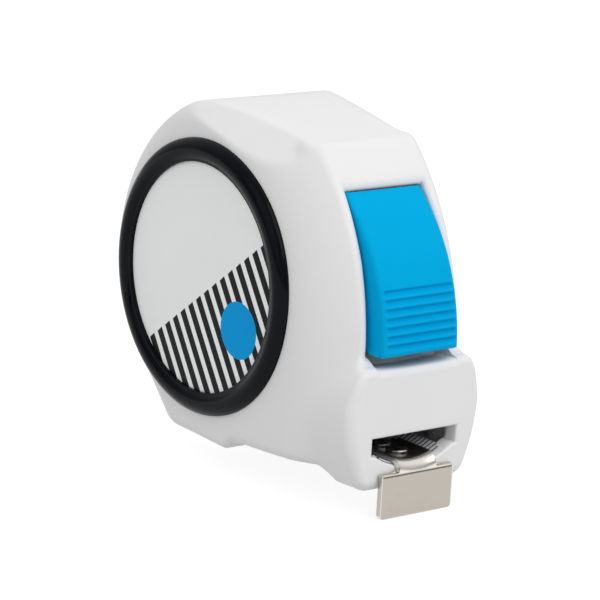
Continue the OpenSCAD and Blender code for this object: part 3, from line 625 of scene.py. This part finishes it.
# ==== Label disc =============================================================
# Printed polyester label on the side face inside the ring: plain grey-white above, slanting black
# bars below a rising line, and one plain blue dot. It carries no words.
LABEL_GREY, BAR_BLACK, DOT_BLUE = (0.945, 0.965, 0.965), (0.016, 0.016, 0.018), (0.0, 0.345, 0.78)
BAR_PITCH, BAR_SHARE = 2.837, 0.58
DOT_X, DOT_Z, DOT_R = 12.05, 23.3, 5.25


def label_material():
    """Bars: black where the distance across them, counted in pitches from one bar's middle, lies
    within half the bar's share of a whole number. They show below the rising line and outside the
    dot. Colours blend over a narrow soft edge."""
    m = plastic("label_print", (1, 1, 1), rough=0.34, grain=0.1, scuff=0.3, bump=0.00001,
                Specular_IOR_Level=0.05)
    t = m.node_tree
    group = next(n for n in t.nodes if n.type == "GROUP")
    x, z = object_mm(t, "X"), object_mm(t, "Z")

    def line(nx, nz, off):
        """Signed distance in millimetres from a straight line."""
        return math(t, "SUBTRACT", math(t, "ADD", math(t, "MULTIPLY", x, nx),
                                        math(t, "MULTIPLY", z, nz)), off)

    def edge(v, width=0.10):
        """0 below and 1 above, over a narrow step."""
        return math(t, "ADD", math(t, "DIVIDE", v, width), 0.5, clamp=True)

    turn = math(t, "DIVIDE", line(0.8387, 0.5446, -2.82), BAR_PITCH)
    wave = math(t, "ABSOLUTE", math(t, "SUBTRACT", math(t, "FRACT", turn), 0.5))
    bar = edge(math(t, "SUBTRACT", wave, 0.5 - BAR_SHARE / 2), 0.035)
    # the bars' ends step up along the rising line: the line is read at each bar's own middle
    stair = math(t, "MULTIPLY", math(t, "SUBTRACT", math(t, "FRACT", math(t, "ADD", turn, 0.5)), 0.5), 0.25)
    below = edge(math(t, "SUBTRACT", stair, line(-0.5990, 0.8007, 21.52)))
    centre = math(t, "SQRT", math(t, "ADD", math(t, "POWER", line(1, 0, DOT_X), 2.0),
                                  math(t, "POWER", line(0, 1, DOT_Z), 2.0)))
    dot = edge(math(t, "SUBTRACT", DOT_R, centre))
    printed = mix(t, dot, mix(t, math(t, "MULTIPLY", bar, below), LABEL_GREY, BAR_BLACK), DOT_BLUE)
    t.links.new(printed, group.inputs["Colour"])
    return m


label_print = label_material()
label_profile = [(1e-4, 0.4), (7, 0.4), (14, 0.4), (21.0, 0.4), (21.17, 0.38), (21.2, 0.3), (21.2, -0.2)]
label = piece("printed_label", grid_mesh("printed_label", turned(label_profile, 128)[:, ::-1], closed_u=True),
              label_print)
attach(label, "case")
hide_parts("label_disc")

# ==== Thumb button ===========================================================
# Blue POM rocker in the front window. A soft rounded front on an arc, flat sides, and seven grip
# grooves across its lower half.
BUTTON_BLUE = (0.0, 0.40, 0.75)
button_blue = plastic("button_blue", BUTTON_BLUE, rough=0.4, grain=0.3, scuff=0.3, bump=0.00003,
                      Specular_IOR_Level=0.02)


def button_points():
    """Front on an arc of radius 35 about (7.3, 23.9), rows by height and columns by width. Rows and
    columns turn back at the bottom, top and sides with quarter circles; grooves are cosine waves of
    depth 0.74 that fade out before the sides."""
    half, r_side, r_end, depth = 8.68, 1.15, 0.8, 7.5
    z0, z1 = 24.2, 51.15
    q = np.linspace(0, np.pi / 2, 7)
    inner = np.linspace(half - r_side, 0, 22)[1:]
    y = np.hstack([np.full(5, half), half - r_side * (1 - np.cos(q)), inner])
    in_c = np.hstack([np.linspace(depth, r_side + 0.6, 5), r_side * (1 - np.sin(q)), 0 * inner])
    y, in_c = np.hstack([-y, y[-2::-1]]), np.hstack([in_c, in_c[-2::-1]])
    z_r = np.hstack([np.full(5, z0), z0 + r_end * (1 - np.cos(q)),
                     np.linspace(z0 + r_end, 36.6, 110)[1:], np.linspace(36.6, z1, 24)[1:]])
    in_r = np.hstack([np.linspace(4.2, r_end + 0.6, 5), r_end * (1 - np.sin(q)), np.zeros(132)])
    z = np.repeat(z_r[:, None], len(y), axis=1)
    # the skirt is shorter at the bottom, where it swings in over the nose
    in_c = in_c[None, :] * np.where(in_c > 1.3, np.interp(z_r, [24.2, 27.5], [0.56, 1])[:, None], 1)
    most = np.maximum(in_c, in_r[:, None])
    inset = most + 0.35 * np.minimum(in_c, in_r[:, None]) * (most < 1.5)
    groove = np.zeros(len(z_r))
    for k in range(7):
        d = np.clip((z_r - (25.95 + 1.55 * k)) / 0.775, -1, 1)
        groove = np.maximum(groove, 0.37 * (1 + np.cos(np.pi * d)))
    fade = np.clip((half - 0.55 - np.abs(y)) / 0.9, 0, 1)
    fade = fade * fade * (3 - 2 * fade)
    inset = inset + groove[:, None] * fade[None, :]
    x = 7.3 + np.sqrt(35.0 ** 2 - (z - 23.9) ** 2) - inset
    return np.stack([x, np.repeat(y[None], len(z_r), axis=0), z], axis=-1)


button = piece("thumb_button", grid_mesh("thumb_button", button_points()), button_blue, smooth=55)
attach(button, "button")
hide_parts("release_button")

# ==== End hook ===============================================================
# Stamped from 1 mm nickel plated steel: a flat plate to catch an edge, bent over a line that
# follows the blade's hollow, and a tongue that is held to the blade by two rivets in slots.
BLADE_C, HOOK_R = 19.1, 13.88                       # centre of the blade's curve; tongue's upper side
HOOK_X, HOOK_LOW, CREASE_Z = 43.28, -4.8, 2.95      # plate's outer face, lower end and crease
RIVETS_X = 37.2, 32.8


def metal_group():
    """Plated or drawn metal: fine lines along one direction in the gloss, broad cloudy variation, and
    worn spots. Noise stretched by Lines (per metre) on object coordinates."""
    g, gi, go = surface_group("drawn_metal", [
        ("Rough", "Float", 0.3), ("Lines", "Vector", (200.0, 4000.0, 200.0)), ("Wear", "Float", 0.5)])
    co = node(g, "ShaderNodeTexCoord").outputs["Object"]
    along = node(g, "ShaderNodeVectorMath", operation="MULTIPLY")
    g.links.new(co, along.inputs[0])
    g.links.new(gi.outputs["Lines"], along.inputs[1])
    drawn = node(g, "ShaderNodeTexNoise", {"Scale": 1.0, "Detail": 3.0, "Roughness": 0.6})
    g.links.new(along.outputs[0], drawn.inputs["Vector"])
    broad = node(g, "ShaderNodeTexNoise", {"Scale": 160.0, "Detail": 4.0, "Roughness": 0.6})
    g.links.new(co, broad.inputs["Vector"])
    wear = math(g, "MULTIPLY", step(g, broad.outputs["Fac"], 0.58, 0.7), gi.outputs["Wear"])
    line = math(g, "SUBTRACT", drawn.outputs["Fac"], 0.5)
    hsv = node(g, "ShaderNodeHueSaturation")
    g.links.new(gi.outputs["Colour"], hsv.inputs["Color"])
    g.links.new(math(g, "ADD", math(g, "MULTIPLY", line, 0.10), math(g, "SUBTRACT", 1.0, math(
        g, "MULTIPLY", wear, 0.08))), hsv.inputs["Value"])
    g.links.new(hsv.outputs[0], go.inputs["Colour"])
    rough = math(g, "ADD", gi.outputs["Rough"], math(g, "MULTIPLY", line, 0.12))
    g.links.new(math(g, "ADD", rough, math(g, "MULTIPLY", wear, 0.12), clamp=True), go.inputs["Roughness"])
    g.links.new(drawn.outputs["Fac"], go.inputs["Height"])
    return g


drawn_metal = metal_group()


def metal(name, colour, rough, lines, wear, bump=0.000002):
    """Material of bare or plated metal; lines as noise cells per metre along x, y and z."""
    return material(name, drawn_metal, bump, {"Colour": (*colour, 1), "Rough": rough, "Lines": lines,
                                              "Wear": wear}, Metallic=1.0)


def hook_material():
    """Plated sheet: a painted highlight makes it brighter on the bend and on the rounded edges, and a
    painted shade makes it dark in the shallow crease 0.35 mm under the plate's upper edge."""
    m = metal("nickel", (0.475, 0.44, 0.39), rough=0.24, lines=(300.0, 300.0, 6000.0), wear=0.4)
    t = m.node_tree
    base = t.nodes["Principled BSDF"].inputs["Base Color"]
    plated = base.links[0].from_socket
    high, away = object_mm(t, "Z"), math(t, "ABSOLUTE", object_mm(t, "Y"))
    side = math(t, "MULTIPLY", step(t, away, 8.0, 8.1), step(t, away, 8.24, 8.2))
    ends = math(t, "MAXIMUM", step(t, high, 3.08, 3.22), step(t, high, -4.66, -4.76))
    off = math(t, "ABSOLUTE", math(t, "SUBTRACT", high, CREASE_Z))
    # painted shade: a dark band of colour along the crease, standing in for the dark reflection in it
    painted_shade = math(t, "MULTIPLY", step(t, off, 0.16, 0.05), step(t, away, 8.1, 7.8))
    # painted highlight: lighter colour on the side edges, the lower end and from the upper edge over the bend
    painted_highlight = mix(t, math(t, "MAXIMUM", side, ends), plated, (0.74, 0.71, 0.65))
    t.links.new(mix(t, painted_shade, painted_highlight, (0.17, 0.155, 0.115)), base)
    return m


nickel = hook_material()


def hook_points():
    """Outer face of the sheet. Columns by width; rows go up the plate, round the bend of radius 2.3
    and back along the tongue. For each width y the tongue lies at top(y) = centre - sqrt(R^2 - y^2).
    The half width is the plate's with corners of 0.9 below and 0.5 above, then the neck's with a
    fillet of 0.5, and the tongue's end is clipped at 45 degrees. A crease 0.1 deep runs across."""
    wide, neck, fillet, bend, tip = 8.25, 4.2, 0.5, 2.3, 31.8
    q = np.linspace(0, np.pi / 2, 9)
    plate = np.hstack([0.9 * (1 - np.cos(q)), np.linspace(0.9, 7.2, 10)[1:-1], np.linspace(7.2, 7.55, 6),
                       8.1 - 0.5 * (1 - np.cos(q[::-1]))])
    corner = np.where(plate < 4, 0.9, 0.5)
    near = np.minimum(np.minimum(plate, 8.1 - plate), corner)
    half = wide - corner + np.sqrt(np.clip(corner ** 2 - (corner - near) ** 2, 0, None))
    t = np.hstack([fillet * (1 - np.cos(q[1:])), np.linspace(fillet, 3.5, 22)[1:]]) / 3.5
    rise = np.minimum(t * 3.5, fillet)
    back = np.linspace(0, 1, 26)[1:]                    # share of the way to the tongue's end
    inner = np.hstack([np.full(len(plate), neck + fillet),
                       neck + fillet - np.sqrt(fillet ** 2 - (fillet - rise) ** 2),
                       neck - np.clip(1.4 - 9.2 * (1 - back), 0, None)])
    outer = np.hstack([half, inner[len(plate):]])
    f = np.linspace(-1, 1, 25)
    g = np.linspace(0, 1, 7)[1:]
    right = inner[:, None] + (outer - inner)[:, None] * g
    y = np.hstack([right[:, ::-1], inner[:, None] * f[::-1], -right])
    top = BLADE_C - np.sqrt(HOOK_R ** 2 - np.minimum(np.abs(y), neck + fillet) ** 2)
    start = top - bend - HOOK_LOW
    run = np.vstack([np.repeat(plate[:, None], y.shape[1], axis=1),
                     8.1 + t[:, None] * (start[len(plate):len(plate) + len(t)] + bend * np.pi / 2 - 8.1)])
    n = len(run)
    a = np.clip((run - start[:n]) / bend, 0, np.pi / 2)
    on_plate = np.abs(y[:n]) > neck + fillet + 1e-6
    a[on_plate] = 0
    x = HOOK_X - bend * (1 - np.cos(a))
    z = np.where(a > 0, start[:n] + HOOK_LOW + bend * np.sin(a), HOOK_LOW + run)
    crease = 0.1 * np.exp(-((z - CREASE_Z) / 0.13) ** 2) * (run < 8.1)
    x = x - crease * np.clip((8.05 - np.abs(y[:n])) / 0.3, 0, 1)
    tongue_x = (HOOK_X - bend) + (tip - HOOK_X + bend) * back[:, None] + 0 * y[n:]
    grid_x, grid_z = np.vstack([x, tongue_x]), np.vstack([z, top[n:]])
    cells = np.ones((len(inner) - 1, y.shape[1] - 1), bool)
    cells[len(plate) - 1:, :len(g)] = cells[len(plate) - 1:, -len(g):] = False
    return np.stack([grid_x, y, grid_z], axis=-1), cells


sheet_points, sheet_cells = hook_points()
hook = piece("hook_sheet", grid_mesh("hook_sheet", sheet_points, keep=sheet_cells), nickel)
modify(hook, "SOLIDIFY", thickness=1.0 * MM, offset=-1.0, use_even_offset=True)


def prism_z(outline, z0, z1):
    """Upright prism over a closed outline (x, y), closed to a point in the middle of both ends."""
    o = np.array(outline, float)
    mid = o.mean(axis=0)
    ring = lambda q, z: np.column_stack([mid + (o - mid) * q, np.full(len(o), z)])
    return np.stack([ring(0, z0), ring(1, z0), ring(1, z1), ring(0, z1)], axis=1)


# Slots for the rivets: they let the hook slide by its own thickness
a = np.linspace(0, 2 * np.pi, 40, endpoint=False)
slot = np.column_stack([1.12 * np.cos(a) + 0.6 * np.sign(np.cos(a)) - 0.5, 1.12 * np.sin(a)])
cut_out(hook, [prism_z(slot + [x, 0], 3, 8) for x in RIVETS_X])
modify(hook, "BEVEL", width=0.2 * MM, segments=3, limit_method="ANGLE", angle_limit=np.radians(50))
hook.data.set_sharp_from_angle(angle=np.radians(45))
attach(hook, "hook")
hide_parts("end_hook")

# ==== Rivets =================================================================
# Two steel rivets, headed over on top of the hook's tongue; the heads are low domes of 4 mm.
rivet_steel = metal("rivet_steel", (0.58, 0.57, 0.55), rough=0.22, lines=(900.0, 900.0, 900.0), wear=0.6)


def lathe_z(profile, x, y=0.0, steps=64):
    """Profile (radius, height) turned about the upright line at (x, y)."""
    r, z = np.array(profile, float).T
    a = np.linspace(0, 2 * np.pi, steps, endpoint=False)[:, None]
    return np.stack([x + r * np.cos(a), y + r * np.sin(a), np.broadcast_to(z, (steps, len(r)))], axis=-1)


q = np.linspace(0, np.pi / 2, 12)
dome = np.column_stack([2.0 * np.cos(q) ** 0.75, 5.55 + 0.47 * np.sin(q) ** 0.9])
rivet_profile = np.vstack([[(0, 3.95), (0.85, 3.95), (1.0, 4.08), (1.0, 5.43), (1.93, 5.43), (2.0, 5.48)],
                           dome])
rivet_profile[-1, 0] = 0
rivets = piece("rivets", bundle("rivets", [lathe_z(rivet_profile, x) for x in RIVETS_X]), rivet_steel)
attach(rivets, "blade")
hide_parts("hook_rivets")

# ==== Blade ==================================================================
# Hollow-ground steel strip of 16 by 0.2 mm under white enamel, printed with millimetre lines. It
# lies flat where it leaves the coil and takes its full cross curve of radius 15 ahead of that.


def blade_material():
    """White enamel; every millimetre a dark line across both edges, longer at 5 and across at 10.
    The way from the zero of the scale, the plate's inner face, is counted along x."""
    m = plastic("blade_print", (0.74, 0.73, 0.80), rough=0.3, grain=0.05, scuff=0.8, bump=0.00001)
    t = m.node_tree
    base = t.nodes["Principled BSDF"].inputs["Base Color"]
    enamel = base.links[0].from_socket
    along = math(t, "SUBTRACT", HOOK_X - 1.0, object_mm(t, "X"))
    away = math(t, "ABSOLUTE", object_mm(t, "Y"))

    def lines(pitch, width, reach):
        """Lines `width` wide at every multiple of `pitch`, further than `reach` from the middle."""
        from_mark = math(t, "FRACT", math(t, "ADD", math(t, "DIVIDE", along, pitch), 0.5))
        near = math(t, "MULTIPLY", math(t, "ABSOLUTE", math(t, "SUBTRACT", from_mark, 0.5)), pitch)
        return math(t, "MULTIPLY", step(t, near, width / 2 + 0.03, width / 2 - 0.03),
                    math(t, "GREATER_THAN", away, reach))

    ink = math(t, "MAXIMUM", lines(1.0, 0.3, 3.4), math(t, "MAXIMUM", lines(5.0, 0.32, 2.0),
                                                        lines(10.0, 0.34, -1.0)))
    t.links.new(mix(t, ink, enamel, (0.012, 0.014, 0.03)), base)
    return m


def blade_points():
    """Loop of points round the strip for each x: with s = x / 7 held in 0..1 the share of the full
    curve is k = s^2 (3 - 2 s), the underside's height 5 - 1.1 k, and a point at the arc length u and
    height h over the underside lies on the circle of radius 15 / k - h about the curve's centre.
    Both ends close on the middle of the thickness."""
    x = np.hstack([np.linspace(0, 7, 22), np.linspace(7, 39.6, 40)[1:], 41 - 1.4 * (1 - np.sin(
        np.linspace(0, np.pi / 2, 8)[1:]))])
    x = np.hstack([x[:1], x, x[-1:]])
    trim = 8.0 - np.clip(x - 39.6, 0, None)
    u = np.linspace(-1, 1, 33)
    h = np.hstack([np.full(33, 0.0), np.full(33, 0.2)])[:, None] + 0 * x
    h[:, [0, -1]] = 0.1
    u = np.hstack([u, u[::-1]])[:, None] * trim
    s = np.clip(x / 7, 0, 1)
    share = s * s * (3 - 2 * s)
    k = np.maximum(0.0005, share / 15)
    r = 1 / k - h
    return np.stack([x + 0 * u, r * np.sin(u * k), 5 - 1.1 * share + h + r * (1 - np.cos(u * k))], axis=-1)


blade_back = plastic("blade_back", (0.6, 0.59, 0.6), rough=0.32, grain=0.05, scuff=0.8, bump=0.00001)
blade = piece("blade_strip", bundle("blade_strip", [blade_points()]), blade_material(), smooth=60)
blade.data.materials.append(blade_back)
down = np.empty(len(blade.data.polygons) * 3)
blade.data.polygons.foreach_get("normal", down)
blade.data.polygons.foreach_set("material_index", (down.reshape(-1, 3)[:, 2] < 0).astype(np.int32))
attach(blade, "blade")
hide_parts("blade_lead")

# ==== Case screws ============================================================
# Four black self-tapping screws, 2.2 mm thread in moulded bosses, with flat cross-slotted heads that
# sit in counterbores of the cover. The solids are right; they get their finish here.


def finish(nodes, material):
    """Gives every slot of the named solids the material."""
    for name in nodes:
        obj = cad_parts[name]
        if not obj.material_slots:
            obj.data.materials.append(material)
        for place in obj.material_slots:
            place.material = material


screw_black = metal("screw_black", (0.06, 0.06, 0.065), rough=0.34, lines=(2500.0, 2500.0, 2500.0),
                    wear=1.0, bump=0.000004)
finish(["case_screws", "clip_screw"], screw_black)

# ==== Belt clip ==============================================================
# Spring strip of 14 by 1 mm, nickel plated: a foot under one screw, a step out to leave room for a
# belt, a straight leaf and a lip that is turned out again at the end.
clip_steel = metal("clip_steel", (0.50, 0.49, 0.47), rough=0.3, lines=(250.0, 250.0, 5200.0), wear=0.5)


def bent_path(corners, step):
    """Open path through corners (y, z, r), each inner one replaced by its arc."""
    c = np.array(corners, float)
    arcs = [rounded_corner(a, b, d, lambda t, r: max(4, int(t * r / step) + 3))
            for a, b, d in zip(c[:-2], c[1:-1], c[2:])]
    return walk(np.vstack([c[:1, :2]] + arcs + [c[-1:, :2]]), step)


def clip_points():
    """Inner face of the strip: its path in y and z, carried across 14 mm in x about -2. At both ends
    the half width falls off with a quarter circle of radius 3."""
    path, gone = bent_path([(17.02, 52.4, 0), (17.02, 43.6, 1.5), (19.25, 40.6, 2.2), (19.25, 16.9, 2.5),
                            (17.75, 14.3, 1.0), (18.9, 12.35, 0)], 0.3)
    near = np.minimum(gone, gone[-1] - gone)
    half = 6.95 - 3 + np.sqrt(9 - (3 - np.minimum(near, 3)) ** 2)
    f = np.linspace(1, -1, 15)
    x = -2 + half[:, None] * f
    return np.stack([x, path[:, :1] + 0 * x, path[:, 1:] + 0 * x], axis=-1)


clip = piece("clip_strip", grid_mesh("clip_strip", clip_points()), clip_steel)
modify(clip, "SOLIDIFY", thickness=0.95 * MM, offset=1.0, use_even_offset=True)
modify(clip, "BEVEL", width=0.18 * MM, segments=3, limit_method="ANGLE", angle_limit=np.radians(50))
clip.data.set_sharp_from_angle(angle=np.radians(45))
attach(clip, "case")
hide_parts("belt_clip")

# ==== Reel ===================================================================
# Black moulded drum and cover on a steel post, with the blued power spring inside and the wound
# blade round it.
reel_black = plastic("reel_black", (0.035, 0.035, 0.038), rough=0.5, grain=0.5, scuff=0.4, bump=0.00002)
finish(["reel_drum", "drum_cover"], reel_black)
post_steel = metal("post_steel", (0.6, 0.6, 0.6), rough=0.24, lines=(3000.0, 120.0, 3000.0), wear=0.4)
finish(["centre_post", "button_pin", "brake_pin"], post_steel)
blued_steel = metal("blued_steel", (0.15, 0.17, 0.24), rough=0.28, lines=(300.0, 5000.0, 300.0), wear=0.8)
finish(["power_spring", "button_spring", "brake_spring"], blued_steel)
finish(["blade_coil"], blade_back)

# ==== Brake arm, pad and guide ===============================================
# Dark moulded lever on a steel pin, with a rubber pad under its lower leg, and a slippery dark strip
# in the floor of the mouth that the blade runs over.
arm_dark = plastic("arm_dark", (0.04, 0.043, 0.05), rough=0.46, grain=0.5, scuff=0.4, bump=0.00002)
finish(["brake_arm", "mouth_guide"], arm_dark)
pad_rubber = plastic("pad_rubber", (0.012, 0.012, 0.012), rough=0.78, grain=1.0, scuff=0.1, bump=0.00004,
                     Specular_IOR_Level=0.3)
finish(["brake_pad"], pad_rubber)

# ==== Floor, lamps and surroundings ==========================================
# Plain white table, seen as white, that still takes the object's shadow; even pale surroundings and
# one broad soft lamp from above the front.
TABLE_Z = -0.0052
floor_mesh = grid_mesh("floor", np.array([[[3, y, TABLE_Z], [-3, y, TABLE_Z]] for y in (-3, 3)]), scale=1.0)
table = bpy.data.materials.new("table_white")
table.use_nodes = True
t = table.node_tree
bsdf = t.nodes["Principled BSDF"]
bsdf.inputs["Base Color"].default_value = (0.32, 0.32, 0.32, 1)
bsdf.inputs["Roughness"].default_value = 0.9
bsdf.inputs["Emission Color"].default_value = (1, 1, 1, 1)
light = node(t, "ShaderNodeLightPath")
seen = math(t, "MAXIMUM", light.outputs["Is Camera Ray"],
            math(t, "MAXIMUM", light.outputs["Is Glossy Ray"], light.outputs["Is Transmission Ray"]))
t.links.new(math(t, "ADD", math(t, "MULTIPLY", seen, 0.57), 0.24), bsdf.inputs["Emission Strength"])
stage_floor = piece("floor", floor_mesh, table)

world = bpy.data.worlds.new("surroundings")
scene.world = world
world.use_nodes = True
t = world.node_tree
sky = t.nodes["Background"]
sky.inputs["Color"].default_value = (1, 1, 1, 1)
light = node(t, "ShaderNodeLightPath")
seen = math(t, "MAXIMUM", light.outputs["Is Glossy Ray"], light.outputs["Is Transmission Ray"])
xyz = node(t, "ShaderNodeSeparateXYZ")
way = node(t, "ShaderNodeTexCoord").outputs["Generated"]
t.links.new(way, xyz.inputs[0])
high = xyz.outputs["Z"]
front = node(t, "ShaderNodeVectorMath", {1: (0.62, -0.78, 0.0)}, operation="DOT_PRODUCT")
t.links.new(way, front.inputs[0])
mirrored = math(t, "MULTIPLY", step(t, high, 0.15, 0.55, 0.60, 1.0),
                step(t, front.outputs["Value"], -0.3, 0.45, 1.0, 0.22))
other = math(t, "ADD", math(t, "MULTIPLY", seen, mirrored),
             math(t, "MULTIPLY", math(t, "SUBTRACT", 1.0, seen), step(t, high, 0.0, 0.9, 0.58, 0.78)))
t.links.new(math(t, "MAXIMUM", light.outputs["Is Camera Ray"], other), sky.inputs["Strength"])


def soft_lamp(name, place, aim, size, power):
    """Square area lamp at `place`, turned to `aim`; power in watts."""
    lamp = bpy.data.objects.new(name, bpy.data.lights.new(name, "AREA"))
    lamp.data.size, lamp.data.energy = size, power
    d = Vector(place) - Vector(aim)
    lamp.matrix_world = Matrix.Translation(place) @ d.to_track_quat("Z", "Y").to_matrix().to_4x4()
    scene.collection.objects.link(lamp)


soft_lamp("key", (0.75, 0.10, 0.75), (0, 0, 0.03), 0.8, 4.0)
soft_lamp("fill", (0.1, -0.9, 0.5), (0, 0, 0.03), 0.8, 0.9)
